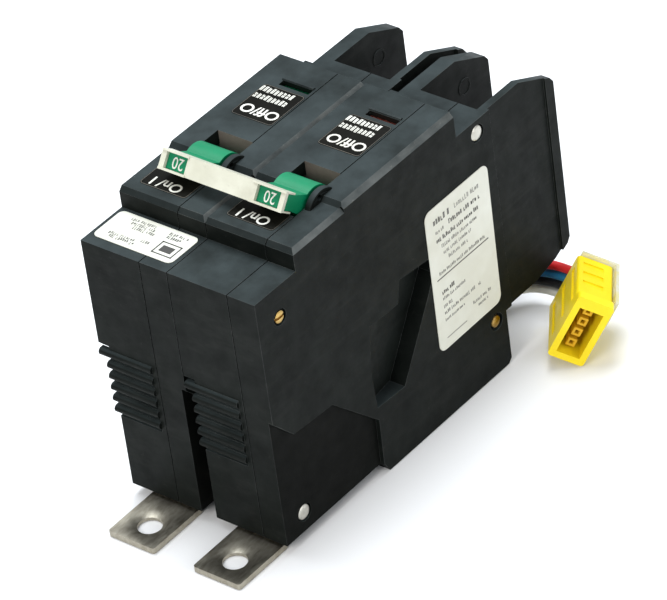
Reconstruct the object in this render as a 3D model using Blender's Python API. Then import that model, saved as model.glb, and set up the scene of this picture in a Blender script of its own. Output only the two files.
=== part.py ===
"""Two-pole bolt-on circuit breaker with a remote operator and a plug-in control lead.

Lengths are in millimetres; MM turns them into Blender's metres. +X runs across the poles, +Y from the
line end to the load end, and +Z from the mounting plane to the handle side. The mounting plane is Z = 0.
"""
import math

import bmesh
import bpy
from mathutils import Matrix, Vector

MM = 0.001

# ---- Driving dimensions -------------------------------------------------------------------------------
PITCH = 25.4                      # one pole's width
POLES = {"left": -PITCH, "right": 0.0}
SEAM = 17.05                      # from a pole's left side to the parting face of its two shells
JOINT_GAP = 0.25                  # air left between neighbouring shells
STEP_Z = 71.4                     # lower step, at the line end
DECK_Z = 76.8                     # deck in front of the handle
RAISED_Z = 77.9                   # raised deck behind the handle
STRIP_Z = 71.2                    # strip above the load terminals, and the barriers' tops
STEP_Y = 14.6                     # rear of the lower step
RAISED_Y = 32.6                   # front of the raised deck
STRIP_Y = 73.8                    # rear of the raised deck
REAR_Y = 84.3                     # rear wall, in front of the load terminals
REAR_LIP_Y = 85.15                # edge of the deck, just over the rear wall
BARRIER_Y = 110.6                 # rear ends of the barriers
BARRIER_FOOT_Z = 15.0
FLOOR_Z = 2.6                     # underside over the line straps
FOOT_Y = 36.6                     # the foot that reaches Z = 0 starts here
SIDE_INSET = 3.1                  # left side, low at the line end
REAR_INSET = 2.2                  # left side, along the barrier
RIGHT_INSET = 1.15                # right side, low at the line end
WALL_U = 5.1                      # inside of the left wall, from the pole's left side
COVER_WALL_U = 22.3               # inside of the cover's wall

AXLE = (33.2, 74.4)               # handle's axle, as (y, z)
LEVER_ON = math.atan2(0.6, -0.8)  # the lever's direction when on
BARREL_R = 5.3
HANDLE_U = (7.1, 16.75)
WELL = (6.8, 25.3, 42.3)          # handle well: its left side, front and rear
LOBE_U = 19.1
TIE_WINDOWS = ((-17.3, -11.2), (9.1, 15.8))

TAB_U = (8.35, 22.05)
TAB_T = 1.5
TAB_FRONT = -15.5
BOLT_HOLE = (15.2, -8.6, 3.0)     # from the pole's left side, y, radius

CONTACT_PIVOT = (44.0, 24.0)
CRADLE_PIVOT = (46.0, 64.0)
ARMATURE_PIVOT = (66.6, 16.0)
TRIP_AXIS = (62.3, 49.5)
SOLENOID = (11.3, 59.0)           # the solenoid's axis, as (from the pole's left side, z)
PLUNGER_TRAVEL = 4.0
PLUNGER_START = {"left": 0.0, "right": -PLUNGER_TRAVEL}

SCREW_U, SCREW_Y = 14.3, 92.0     # load terminal's screw
STRAP_Z = (44.4, 46.4)            # load strap's underside and top

FASTENERS = {                     # y, z, head radius, left face, right face
    "case_screw": (7.6, 63.3, 1.8, -PITCH, PITCH - JOINT_GAP),
    "rivet_line_end": (7.3, 7.5, 2.0, -PITCH + SIDE_INSET, PITCH - JOINT_GAP - RIGHT_INSET),
    "rivet_load_end_top": (81.4, 67.6, 2.0, -PITCH, PITCH - JOINT_GAP),
    "rivet_load_end_foot": (80.4, 14.2, 2.0, -PITCH, PITCH - JOINT_GAP),
}
SHANK_R = 1.5
FIT = 0.3                         # clearance around pins and shanks

WIRE_R = 1.1
WIRE_EXIT = (11.5, 86.5, 8.95)    # middle of the column of wires where it leaves the right pole
WIRE_PITCH = 2.5                  # between wires, in their column
WIRE_DROP = 1.65                  # from the connector's middle down to the column's middle
WIRES = {"wire_red": 1.5, "wire_blue": 0.5, "wire_black": -0.5, "wire_white": -1.5}
PLUG_SIZE = (18.0, 9.2, 17.5)     # connector's length along its mating direction, width, height
PLUG_PLACE = (36.2, 98.1)         # its middle, as (x, y); it rests on one long edge
PLUG_HEADING = -55.0              # mating direction, degrees from +X
PLUG_ROLL = -29.0                 # degrees about the mating direction
CENTRE = (-0.125, 47.55)          # middle of the breaker's footprint, moved onto the origin at the end


# ---- Small tools --------------------------------------------------------------------------------------
def spread(axis, a, b, along):
    """Place outline point (a, b) at a distance along the extrusion axis."""
    return {"X": (along, a, b), "Y": (a, along, b), "Z": (a, b, along)}[axis]


def solid(name, rings):
    """Closed solid between successive rings of equal length, capped at both ends."""
    mesh = bmesh.new()
    loops = [[mesh.verts.new(Vector(point) * MM) for point in ring] for ring in rings]
    for lower, upper in zip(loops, loops[1:]):
        for i, vert in enumerate(lower):
            j = (i + 1) % len(lower)
            mesh.faces.new((vert, lower[j], upper[j], upper[i]))
    mesh.faces.new(loops[0])
    mesh.faces.new(loops[-1])
    bmesh.ops.recalc_face_normals(mesh, faces=mesh.faces)
    data = bpy.data.meshes.new(name)
    mesh.to_mesh(data)
    mesh.free()
    item = bpy.data.objects.new(name, data)
    bpy.context.scene.collection.objects.link(item)
    return item


def prism(name, axis, outline, low, high):
    return solid(name, [[spread(axis, a, b, along) for a, b in outline] for along in (low, high)])


def block(name, x, y, z):
    return prism(name, "X", [(y[0], z[0]), (y[1], z[0]), (y[1], z[1]), (y[0], z[1])], *x)


def circle(centre, radius, sides=32):
    turn = 2 * math.pi / sides
    return [(centre[0] + radius * math.cos(i * turn), centre[1] + radius * math.sin(i * turn))
            for i in range(sides)]


def rod(name, axis, centre, radius, low, high, sides=32):
    return prism(name, axis, circle(centre, radius, sides), low, high)


def arc(centre, radius, start, end, steps=6):
    """Points on an arc; angles in degrees."""
    angles = [math.radians(start + (end - start) * i / steps) for i in range(steps + 1)]
    return [(centre[0] + radius * math.cos(t), centre[1] + radius * math.sin(t)) for t in angles]


def rounded(a, b, radius, steps=4):
    """Rectangle with rounded corners; a and b are its two spans."""
    corners = ((a[1], b[1], 0), (a[0], b[1], 90), (a[0], b[0], 180), (a[1], b[0], 270))
    points = []
    for ca, cb, start in corners:
        centre = (ca - math.copysign(radius, ca - sum(a) / 2), cb - math.copysign(radius, cb - sum(b) / 2))
        points += arc(centre, radius, start, start + 90, steps)
    return points


def apply_boolean(item, tools, operation):
    for tool in tools:
        step = item.modifiers.new("step", "BOOLEAN")
        step.operation = operation
        step.solver = "EXACT"
        step.object = tool
        with bpy.context.temp_override(object=item):
            bpy.ops.object.modifier_apply(modifier=step.name)
        bpy.data.objects.remove(tool)
    return item


def add(item, *tools):
    return apply_boolean(item, tools, "UNION")


def cut(item, *tools):
    return apply_boolean(item, tools, "DIFFERENCE")


def hinge_at(item, x, centre):
    """Put the origin on a hinge axis along X, through (y, z)."""
    origin = Vector((x, *centre)) * MM
    for vert in item.data.vertices:
        vert.co -= origin
    item.location = origin
    return item


def finish(item, colour, roughness=0.5, metallic=0.0):
    material = bpy.data.materials.new(item.name)
    material.use_nodes = True
    shader = material.node_tree.nodes["Principled BSDF"]
    shader.inputs["Base Color"].default_value = (*colour, 1)
    shader.inputs["Roughness"].default_value = roughness
    shader.inputs["Metallic"].default_value = metallic
    item.data.materials.clear()
    item.data.materials.append(material)
    return item


CASE = ((0.025, 0.028, 0.032), 0.5)
GREEN = ((0.01, 0.36, 0.19), 0.4)
CREAM = ((0.86, 0.83, 0.7), 0.45)
STEEL = ((0.5, 0.5, 0.48), 0.35, 1.0)
TIN = ((0.62, 0.6, 0.54), 0.38, 1.0)
BRASS = ((0.6, 0.42, 0.16), 0.35, 1.0)
COPPER = ((0.7, 0.32, 0.18), 0.35, 1.0)
PAPER = ((0.83, 0.83, 0.78), 0.6)


# ---- Case ---------------------------------------------------------------------------------------------
def case_outline():
    """Side outline of both shells, without the barriers."""
    chamfer = 1.1
    return [(0, FLOOR_Z), (0, STEP_Z), (STEP_Y, STEP_Z), (STEP_Y, DECK_Z - chamfer),
            (STEP_Y + chamfer, DECK_Z), (RAISED_Y, DECK_Z), (RAISED_Y + 1.2, RAISED_Z),
            (STRIP_Y, RAISED_Z), (STRIP_Y, STRIP_Z), (REAR_LIP_Y, STRIP_Z), (REAR_LIP_Y, 66.6),
            (REAR_Y, 65.7), (REAR_Y, 1.2),
            (REAR_Y - 1.2, 0), (FOOT_Y, 0), (FOOT_Y - 1.4, FLOOR_Z)]


def barrier_outline(front):
    return [(front, BARRIER_FOOT_Z), (97.0, BARRIER_FOOT_Z), (105.0, 16.6), (109.6, 18.6),
            (BARRIER_Y, 20.0), (BARRIER_Y, 64.6), (109.4, 66.2), (98.4, STRIP_Z), (front, STRIP_Z)]


def inset_outline(rise):
    """Zig-zag area, low at the line end, where a side steps in."""
    return [(-2, -2), (-2, 38.2 + rise), (0, 38.2 + rise), (6.4, 31.2 + rise), (20.3, 30.2 + rise),
            (35.2, 15.6 + rise), (34.9, FLOOR_Z), (34.9, -2)]


def cavity_outline():
    return [(3.4, 5), (3.4, 68.6), (17.4, 68.6), (17.4, 74.2), (43.6, 74.2), (43.6, 76.7), (71.2, 76.7),
            (71.2, 66), (79.4, 64.2), (81.6, 62), (81.6, 20), (77.6, 17), (77.6, 11.4), (81.6, 11.4),
            (81.6, 5)]


def fastener_holes(x0, x1):
    return [rod("hole", "X", (y, z), SHANK_R + FIT, x0, x1, 24) for y, z, *_ in FASTENERS.values()]


def strap_channel(pole, x0, x1):
    return block("channel", (pole + x0, pole + x1), (1.15, 3.6), (1, 14.6))


def grip_ribs(pole):
    """Six half-round ribs on the front; the top one starts at the very edge."""
    ribs = []
    for i in range(6):
        middle = 40.4 - 3.16 * i
        outline = [(0.9, middle - 1.0), *arc((0.25, middle), 1.0, 270, 90, 8), (0.9, middle + 1.0)]
        ribs.append(prism("rib", "X", outline, pole + (0.4 if i == 0 else 2.3), pole + 15.8))
    return ribs


def case_base(side, pole):
    base = prism(f"{side}_case_base", "X", case_outline(), pole, pole + SEAM)
    add(base, prism("fin", "X", barrier_outline(REAR_Y - 1), pole + REAR_INSET, pole + 6.2))
    cut(base,
        prism("inset", "X", inset_outline(4.4), pole - 1, pole + SIDE_INSET),
        block("rear inset", (pole - 1, pole + REAR_INSET), (82.0, 120), (BARRIER_FOOT_Z, 90)),
        prism("cavity", "X", cavity_outline(), pole + WALL_U, pole + SEAM + 1),
        block("well", (pole + WELL[0], pole + SEAM + 1), WELL[1:], (70, 90)),
        block("window", (pole + 7.6, pole + 16.4), (63.6, 65.4), (72, 90)),
        strap_channel(pole, TAB_U[0] - FIT, SEAM + 1),
        block("load slot", (pole + 9.3, pole + 16.9), (80, 90), (STRAP_Z[0] - FIT, STRAP_Z[1] + FIT)),
        rod("axle hole", "X", AXLE, 1.2 + FIT, pole + 3.2, pole + 8, 24),
        rod("contact hole", "X", CONTACT_PIVOT, 1.2 + FIT, pole + 3.2, pole + 6, 24),
        *fastener_holes(pole - 1, pole + SEAM + 1))
    if side == "right":
        x, _, z = WIRE_EXIT
        cut(base,
            block("wire exit", (x - 2.7, x + 2.7), (80, 90), (z - 6.5, z + 6.5)),
            rod("trip hole", "X", TRIP_AXIS, 1.4 + FIT, pole - 1, pole + 6, 24))
    cut(base, *counterbores(side, left=True))
    skirt = block("well's rear wall", (pole + WALL_U - 0.2, pole + SEAM), (WELL[2], WELL[2] + 1.3), (70.3, 77.2))
    add(base, skirt, *grip_ribs(pole))
    return finish(base, *CASE)


def pocket(pole):
    """Slanting hollow in the cover's side, deepest along its rear wall."""
    outline = [(60.5, 41.3), (60.5, 45.9), (48.2, 47.2), (46.9, 41.4), (42.9, 41.4), (36.2, 41.9),
               (34.6, 30.1), (35.2, 19.1), (45.4, 18.5)]
    face = pole + PITCH - JOINT_GAP
    floor = []
    for y, z in outline:
        slope_run = 0.832 * y - 0.552 * z - 7.0
        floor.append((face - 0.8 - 0.18 * slope_run, y, z))
    return solid("pocket", [floor, [(face + 1, y, z) for y, z in outline]])


def edge_chamfer(pole, y, z, size):
    """Triangular cutter along a cover's upper right edge."""
    face = pole + PITCH - JOINT_GAP
    outline = [(face - size, z), (face + 1, z), (face + 1, z - size - 1), (face, z - size)]
    return prism("chamfer", "Y", [(face - size, z + 2), (face + 1, z + 2), *outline[2:], outline[0]], *y)


def counterbores(side, left):
    """Round recesses for the fasteners' heads, on the assembly's two outer sides."""
    if side != ("left" if left else "right"):
        return []
    tools = []
    for y, z, head, x_left, x_right in FASTENERS.values():
        span = (x_left - 4, x_left + 1.05) if left else (x_right - 1.05, x_right + 4)
        tools.append(rod("counterbore", "X", (y, z), head + FIT, *span, 24))
    return tools


def case_cover(side, pole):
    right = pole + PITCH - JOINT_GAP
    inner = pole + SEAM + JOINT_GAP
    cover = prism(f"{side}_case_cover", "X", case_outline(), inner, right)
    add(cover,
        prism("fin", "X", barrier_outline(REAR_Y - 1), pole + 22.65, right),
        rod("lobe", "X", AXLE, BARREL_R, inner, pole + LOBE_U, 48))
    front = [(3.4, 5), (3.4, 68.6), (17.4, 68.6), (17.4, 74.2), (71.2, 74.2), (71.2, 66), (79.4, 64.2),
             (81.6, 62), (81.6, 20), (77.6, 17), (77.6, 11.4), (81.6, 11.4), (81.6, 5), (64.4, 5),
             (64.4, 53), (42, 53), (42, 64), (24, 64), (24, 53), (31.5, 53), (31.5, 5)]
    cut(cover,
        prism("cavity", "X", front, pole + SEAM - 1, pole + COVER_WALL_U),
        prism("inset", "X", inset_outline(0), right - RIGHT_INSET, right + 1),
        block("barrier panel", (right - 0.6, right + 1), (86.5, 107.6), (10, 90)),
        pocket(pole),
        edge_chamfer(pole, (10, RAISED_Y + 0.4), DECK_Z, 1.1),
        edge_chamfer(pole, (RAISED_Y + 0.4, STRIP_Y + 1), RAISED_Z, 1.2),
        strap_channel(pole, SEAM - 1, TAB_U[1] + FIT),
        rod("axle hole", "X", AXLE, 1.2 + FIT, pole + SEAM - 1, pole + LOBE_U - 0.5, 24),
        rod("lobe hole", "X", (33.1, 78.0), 0.75, pole + LOBE_U - 1.3, pole + LOBE_U + 1, 16),
        *fastener_holes(pole + SEAM - 1, right + 1))
    if side == "left":
        cut(cover, rod("trip hole", "X", TRIP_AXIS, 1.4 + FIT, pole + SEAM - 1, right + 1, 24))
    cut(cover, *counterbores(side, left=False))
    return finish(cover, *CASE)


# ---- Handles, tie bar and axle -------------------------------------------------------------------------
def along_lever(distance, offset):
    """Point at a distance from the axle along the lever, and an offset towards its upper side."""
    c, s = math.cos(LEVER_ON), math.sin(LEVER_ON)
    return (AXLE[0] + distance * c + offset * s, AXLE[1] + distance * s - offset * c)


def handle(side, pole):
    low, high = pole + HANDLE_U[0], pole + HANDLE_U[1]
    item = rod(f"{side}_handle", "X", AXLE, BARREL_R, low, high, 48)
    lever = [along_lever(*p) for p in ((0, 2.4), (5, 2.3), (9, 1.5), (11.9, 1.5), (11.9, -1.5),
                                       (9, -1.5), (5, -2.3), (0, -2.4))]
    crank = [along_lever(*p) for p in ((-9.6, 1.2), (-4, 1.6), (-4, -1.6), (-9.6, -1.2))]
    add(item, prism("lever", "X", lever, low, high), prism("crank", "X", crank, pole + 8.6, pole + 13.8))
    cut(item, rod("bore", "X", AXLE, 1.2 + FIT, low - 1, high + 1, 24))
    hinge_at(item, pole + sum(HANDLE_U) / 2, AXLE)
    return finish(item, *GREEN)


def handle_axle(side, pole):
    item = rod(f"{side}_handle_axle", "X", AXLE, 1.2, pole + 3.6, pole + LOBE_U - 0.8, 24)
    return finish(item, *STEEL)


def tie_bar():
    """Channel over the ends of both levers, with a window over each lever."""
    profile = [(13.2, 2.4), (13.2, -2.4), (9.6, -2.4), (9.6, -1.8), (12.2, -1.8), (12.2, 1.8), (9.6, 1.8),
               (9.6, 2.4)]
    item = prism("tie_bar", "X", [along_lever(*p) for p in profile], -18.7, 17.1)
    window = [along_lever(*p) for p in ((11.9, 1.75), (14, 1.75), (14, -1.75), (11.9, -1.75))]
    for start, end in TIE_WINDOWS:
        cut(item, prism("window", "X", window, start, end))
    hinge_at(item, 0, AXLE)
    return finish(item, *CREAM)


# ---- Current path --------------------------------------------------------------------------------------
def line_terminal(side, pole):
    """Plated strap: the bolt tab outside, a bend up into the case, and the fixed contact inside."""
    t = TAB_T
    outline = [(TAB_FRONT, 0), *arc((1.35, t + 0.1), t + 0.1, 270, 360), (1.35 + t + 0.1, 12.2),
               (20.5, 12.2), (20.5, 12.2 + t), (2.4, 12.2 + t), (1.45, 12.9), (1.45, 1.9), (1.05, t),
               (TAB_FRONT, t)]
    item = prism(f"{side}_line_terminal", "X", outline, pole + TAB_U[0], pole + TAB_U[1])
    add(item, rod("contact", "Z", (pole + 12.8, 16.5), 2.6, 13.4, 15.2, 24))
    cut(item, rod("bolt hole", "Z", (pole + BOLT_HOLE[0], BOLT_HOLE[1]), BOLT_HOLE[2], -1, 3, 40))
    return finish(item, *TIN)


def contact_arm(side, pole):
    y, z = CONTACT_PIVOT
    outline = [(13.5, 17.2), (20, 17.2), (38, 19.4), *arc((y, z), 3.5, -110, 80), (41, 34), (37.6, 34),
               (38.6, 26.6), (20, 21.2), (13.5, 19.6)]
    item = prism(f"{side}_contact_arm", "X", outline, pole + 11.2, pole + 14.4)
    add(item, rod("contact", "Z", (pole + 12.8, 16.5), 2.2, 15.5, 17.6, 24))
    cut(item, rod("bore", "X", CONTACT_PIVOT, 1.2 + FIT, pole, pole + PITCH, 24))
    hinge_at(item, pole + 12.8, CONTACT_PIVOT)
    return finish(item, *COPPER)


def contact_pin(side, pole):
    item = rod(f"{side}_contact_pin", "X", CONTACT_PIVOT, 1.2, pole + 3.6, pole + 16.9, 24)
    return finish(item, *STEEL)


def arc_chute(side, pole):
    """Stack of splitter plates on one back plate."""
    outline = [(4.0, 18.0)]
    for i in range(7):
        low = 18.0 + 3 * i
        outline += [(11.2, low), (11.2, low + 1), (5.0, low + 1)]
        if i < 6:
            outline.append((5.0, low + 3))
    outline[-1] = (4.0, 37.0)
    item = prism(f"{side}_arc_chute", "X", outline, pole + 5.6, pole + 16.8)
    return finish(item, *STEEL)


def tube(name, points, radius, sides_step=2):
    """Round bar or wire along points, as a curve with filled caps."""
    data = bpy.data.curves.new(name, "CURVE")
    data.dimensions = "3D"
    data.bevel_depth = radius * MM
    data.bevel_resolution = sides_step
    data.use_fill_caps = True
    spline = data.splines.new("POLY")
    spline.points.add(len(points) - 1)
    for point, place in zip(spline.points, points):
        point.co = (*(Vector(place) * MM), 1)
    item = bpy.data.objects.new(name, data)
    bpy.context.scene.collection.objects.link(item)
    return item


def smooth_route(points, per_span):
    """Catmull-Rom curve through the route's own points."""
    ends = [2 * Vector(points[0]) - Vector(points[1]), 2 * Vector(points[-1]) - Vector(points[-2])]
    p = [ends[0], *map(Vector, points), ends[1]]
    route = []
    for i in range(1, len(p) - 2):
        for step in range(per_span):
            t = step / per_span
            route.append(0.5 * (2 * p[i] + (p[i + 1] - p[i - 1]) * t
                                + (2 * p[i - 1] - 5 * p[i] + 4 * p[i + 1] - p[i + 2]) * t ** 2
                                + (3 * p[i] - p[i - 1] - 3 * p[i + 1] + p[i + 2]) * t ** 3))
    return [*route, Vector(points[-1])]


def shunt_braid(side, pole):
    x = pole + 12.8
    points = [(x, 48.0, 21.6), (x, 50.6, 18.4), (x, 54, 12.6), (x, 60, 9.0), (x, 66, 9.2), (x, 69.4, 11.4),
              (x, 71.8, 14.4)]
    return finish(tube(f"{side}_shunt_braid", smooth_route(points, 3), 1.1), *COPPER)


def toggle_spring(side, pole):
    turns, steps, radius = 8, 14, 1.9
    points = []
    for i in range(turns * steps + 1):
        angle = 2 * math.pi * i / steps
        height = 37.0 + 20.0 * i / (turns * steps)
        points.append((pole + 12.2 + radius * math.cos(angle), 39.4 + radius * math.sin(angle), height))
    return finish(tube(f"{side}_toggle_spring", points, 0.35, 1), *STEEL)


def load_terminal(side, pole):
    """Strap from the bimetal out to the wire clamp."""
    inner, outer = (pole + 9.6, pole + 16.6), (pole + 8.6, pole + 20.0)
    outline = [(inner[0], 75.2), (inner[1], 75.2), (inner[1], REAR_Y + 0.5), (outer[1], REAR_Y + 0.5),
               (outer[1], 97.6), (outer[0], 97.6), (outer[0], REAR_Y + 0.5), (inner[0], REAR_Y + 0.5)]
    item = prism(f"{side}_load_terminal", "Z", outline, *STRAP_Z)
    cut(item, rod("tapping", "Z", (pole + SCREW_U, SCREW_Y), 2.3, 40, 50, 24))
    return finish(item, *BRASS)


def clamp_plate(side, pole):
    x, y = pole + SCREW_U, SCREW_Y
    item = prism(f"{side}_clamp_plate", "Z", rounded((x - 4.6, x + 4.6), (y - 4.6, y + 4.6), 1.0), 49.0, 50.4)
    cut(item, rod("bore", "Z", (x, y), 2.3, 40, 60, 24))
    return finish(item, *STEEL)


def load_screw(side, pole):
    x, y = pole + SCREW_U, SCREW_Y
    item = rod(f"{side}_load_screw", "Z", (x, y), 2.0, 39.0, 51.2, 24)
    add(item, rod("head", "Z", (x, y), 4.1, 50.7, 54.0))
    cut(item, block("slot", (x - 0.6, x + 0.6), (y - 6, y + 6), (52.6, 56)))
    origin = Vector((x, y, 50.7)) * MM
    for vert in item.data.vertices:
        vert.co -= origin
    item.location = origin
    return finish(item, *STEEL)


# ---- Overload trip -------------------------------------------------------------------------------------
def cradle(side, pole):
    outline = [*arc(CRADLE_PIVOT, 3.0, 60, 250, 8), (48.4, 60.6), (56.6, 49.6), (55.8, 46.0), (60.2, 46.0),
               (60.8, 50.6)]
    item = prism(f"{side}_cradle", "X", outline, pole + 14.7, pole + 16.7)
    add(item, rod("stub", "X", CRADLE_PIVOT, 1.3, pole + 5.5, pole + 15, 20))
    hinge_at(item, pole + 15.7, CRADLE_PIVOT)
    return finish(item, *STEEL)


def trip_bar():
    """Bar through both poles, with a finger in front of each armature."""
    item = rod("trip_bar", "X", TRIP_AXIS, 1.4, POLES["left"] + 12, POLES["right"] + 16.6, 24)
    for pole in POLES.values():
        add(item, block("finger", (pole + 12.4, pole + 14.2), (61.7, 63.1), (42.5, 49.6)))
    hinge_at(item, 0, TRIP_AXIS)
    return finish(item, (0.3, 0.18, 0.08), 0.6)


def armature(side, pole):
    item = block(f"{side}_armature", (pole + 7.6, pole + 16.4), (66.0, 67.2), (16, 47.5))
    add(item, rod("knuckle", "X", ARMATURE_PIVOT, 1.4, pole + 6.8, pole + 17.2, 20))
    hinge_at(item, pole + 12, ARMATURE_PIVOT)
    return finish(item, *STEEL)


def magnet_yoke(side, pole):
    low, high = pole + 6.9, pole + 17.7
    outline = [(low, 70.6), (low + 1.3, 70.6), (low + 1.3, 77.0), (high - 1.3, 77.0), (high - 1.3, 70.6),
               (high, 70.6), (high, 78.4), (low, 78.4)]
    return finish(prism(f"{side}_magnet_yoke", "Z", outline, 22, 34), *STEEL)


def bimetal(side, pole):
    outline = [(73.6, 13), (74.6, 13), (74.6, 46.8), (80.4, 46.8), (80.4, 47.8), (73.6, 47.8)]
    return finish(prism(f"{side}_bimetal", "X", outline, pole + 10, pole + 15.6), *COPPER)


# ---- Remote operator -----------------------------------------------------------------------------------
def solenoid_frame(side, pole):
    x, z = pole + SOLENOID[0], SOLENOID[1]
    outline = [(62.2, 52.4), (80.9, 52.4), (80.9, 62.0), (79.6, 62.0), (79.6, 53.6), (63.5, 53.6), (63.5, 65.4),
               (62.2, 65.4)]
    item = prism(f"{side}_solenoid_frame", "X", outline, x - 5.3, x + 5.3)
    cut(item, rod("bore", "Y", (x, z), 2.2 + FIT, 60, 65, 24))
    return finish(item, *STEEL)


def solenoid_coil(side, pole):
    x, z = pole + SOLENOID[0], SOLENOID[1]
    flange, winding = 4.9, 4.4
    item = rod(f"{side}_solenoid_coil", "Y", (x, z), winding, 64.4, 78.6)
    add(item, *(rod("flange", "Y", (x, z), flange, y, y + 1.2) for y in (63.8, 78.0)))
    cut(item, rod("bore", "Y", (x, z), 2.2 + FIT, 60, 90, 24))
    return finish(item, *COPPER)


def plunger(side, pole):
    x, z = pole + SOLENOID[0], SOLENOID[1]
    item = rod(f"{side}_plunger", "Y", (x, z), 2.2, 48, 72, 24)
    item.location.y = PLUNGER_START[side] * MM
    return finish(item, *STEEL)


def indicator_flag(side, pole):
    """Two-colour plate under the window, on a post that stands on the plunger."""
    x = pole + SOLENOID[0]
    item = block(f"{side}_indicator_flag", (x - 4.9, x + 4.9), (52, 70.8), (75.3, 76.3))
    add(item, block("post", (x - 2.2, x + 2.2), (52, 53.6), (61.45, 75.7)))
    item.location.y = PLUNGER_START[side] * MM
    return finish(item, *GREEN)


# ---- Fasteners, plates and control lead ----------------------------------------------------------------
def fastener(name, y, z, head, x_left, x_right):
    item = rod(name, "X", (y, z), SHANK_R, x_left + 0.2, x_right - 0.2, 24)
    add(item,
        rod("left head", "X", (y, z), head, x_left, x_left + 0.75, 24),
        rod("right head", "X", (y, z), head, x_right - 0.75, x_right, 24))
    if name == "case_screw":
        cut(item, block("slot", (x_right - 0.5, x_right + 1), (y - 3, y + 3), (z - 0.3, z + 0.3)))
    return finish(item, *(TIN if name in ("rivet_line_end", "rivet_load_end_top") else BRASS))


def nameplate():
    outline = rounded((-24.3, -1.2), (2.7, 13.5), 1.4)
    return finish(prism("nameplate", "Z", outline, STEP_Z + 0.03, STEP_Z + 0.25), *PAPER)


def side_label():
    face = PITCH - JOINT_GAP
    outline = rounded((59.0, 83.0), (18.9, 58.4), 1.8)
    return finish(prism("side_label", "X", outline, face + 0.03, face + 0.25), *PAPER)


def plug_frame():
    """Turns the connector's own frame (X is its mating direction) into the breaker's."""
    heading = Matrix.Rotation(math.radians(PLUG_HEADING), 4, "Z")
    roll = Matrix.Rotation(math.radians(PLUG_ROLL), 4, "X")
    turn = heading @ roll
    length, width, height = PLUG_SIZE
    lift = abs(turn[2][1]) * width / 2 + abs(turn[2][2]) * height / 2
    return Matrix.Translation((*PLUG_PLACE, lift + 0.02)) @ turn


def place_plug(item):
    frame = plug_frame()
    for vert in item.data.vertices:
        vert.co = (frame @ (vert.co / MM)) * MM
    return item


def connector_housing():
    """Four-way housing on the end of the wires, with its mating hollow at +X of its own frame."""
    length, width, height = (size / 2 for size in PLUG_SIZE)
    item = prism("connector_housing", "X", rounded((-width, width), (-height, height), 0.9), -length, length)
    add(item, prism("rim", "X", rounded((-width, width), (-height, height + 1.2), 0.9), length - 2.4, length))
    cut(item, block("mouth", (length - 10, length + 1), (1.6 - width, width - 1.6), (1.8 - height, height - 1.8)))
    return finish(place_plug(item), (0.9, 0.78, 0.03), 0.35)


def connector_lock():
    """Clear retainer along the housing's far side and over its back edge."""
    length, width, height = (size / 2 for size in PLUG_SIZE)
    outline = [(width + FIT, height + 0.9), (width + FIT, height - 9.0), (width + 1.2, height - 9.0),
               (width + 1.2, height + 0.9)]
    item = prism("connector_lock", "X", outline, -length - 1.0, length - 3.2)
    add(item, block("rear strip", (-length - 1.0, -length - FIT), (-width + 0.8, width + 0.5),
                    (height - 3.0, height + 0.9)))
    return finish(place_plug(item), (0.8, 0.8, 0.76), 0.25)


def wire_grommet():
    x, _, z = WIRE_EXIT
    item = block("wire_grommet", (x - 2.4, x + 2.4), (82.2, 85), (z - 6.2, z + 6.2))
    lip = rounded((x - 3.4, x + 3.4), (z - 6.6, z + 6.6), 1.2)
    add(item, prism("lip", "Y", lip, REAR_Y + FIT, WIRE_EXIT[1] - FIT))
    return finish(item, (0.03, 0.03, 0.03), 0.7)


def wire_route(slot):
    """Straight out of the grommet, round behind the barrier and into the connector's back."""
    frame = plug_frame()
    length = PLUG_SIZE[0]
    x, y, z = WIRE_EXIT
    start, up = Vector(WIRE_EXIT), Vector((0, 0, 1))
    behind = [frame @ Vector((-length / 2 - FIT - gap, 0, -WIRE_DROP)) for gap in (1.1, 0)]
    tall = frame.to_3x3() @ Vector((0, 0, 1))
    middle = [start, (x, y + 2.6, z - 0.1), (x, y + 8.5, z - 0.6), (x + 0.9, y + 14.6, z - 1.0),
              (x + 4.2, y + 19.4, z - 1.2), (x + 9.2, y + 21.0, z - 1.0), (x + 14.7, y + 20.7, z - 0.6),
              (x + 16.8, y + 20.1, z - 0.5), *behind]
    points = []
    for i, place in enumerate(middle):
        lean = up.lerp(tall, i / (len(middle) - 1)).normalized()
        points.append(Vector(place) + slot * WIRE_PITCH * lean)
    return smooth_route(points, 3)


def wire(name, slot):
    colours = {"red": (0.6, 0.03, 0.03), "blue": (0.05, 0.25, 0.45), "black": (0.01, 0.01, 0.01),
               "white": (0.7, 0.7, 0.66)}
    item = tube(name, wire_route(slot), WIRE_R)
    return finish(item, colours[name.split("_")[1]], 0.45)


def clear_scene():
    for item in list(bpy.data.objects):
        bpy.data.objects.remove(item)


def build():
    clear_scene()
    per_pole = (case_base, case_cover, handle, handle_axle, line_terminal, contact_arm, contact_pin,
                arc_chute, shunt_braid, toggle_spring, load_terminal, clamp_plate, load_screw, cradle,
                armature, magnet_yoke, bimetal, solenoid_frame, solenoid_coil, plunger, indicator_flag)
    for side, pole in POLES.items():
        for make in per_pole:
            make(side, pole)
    tie_bar()
    trip_bar()
    for name, sizes in FASTENERS.items():
        fastener(name, *sizes)
    nameplate()
    side_label()
    wire_grommet()
    for name, slot in WIRES.items():
        wire(name, slot)
    connector_housing()
    connector_lock()
    for item in bpy.data.objects:
        item.location -= Vector((*CENTRE, 0)) * MM


build()
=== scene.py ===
"""Looks of a two-pole bolt-on breaker: detailed shells, handles, labels and control lead.

Everything is built around the CAD frame. Shapes are drawn in local millimetres: X from the right pole's
left side, Y from the cases' front, Z from the mounting plane.
"""
import math
import random

import bmesh
import bpy
from mathutils import Matrix, Vector


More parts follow.
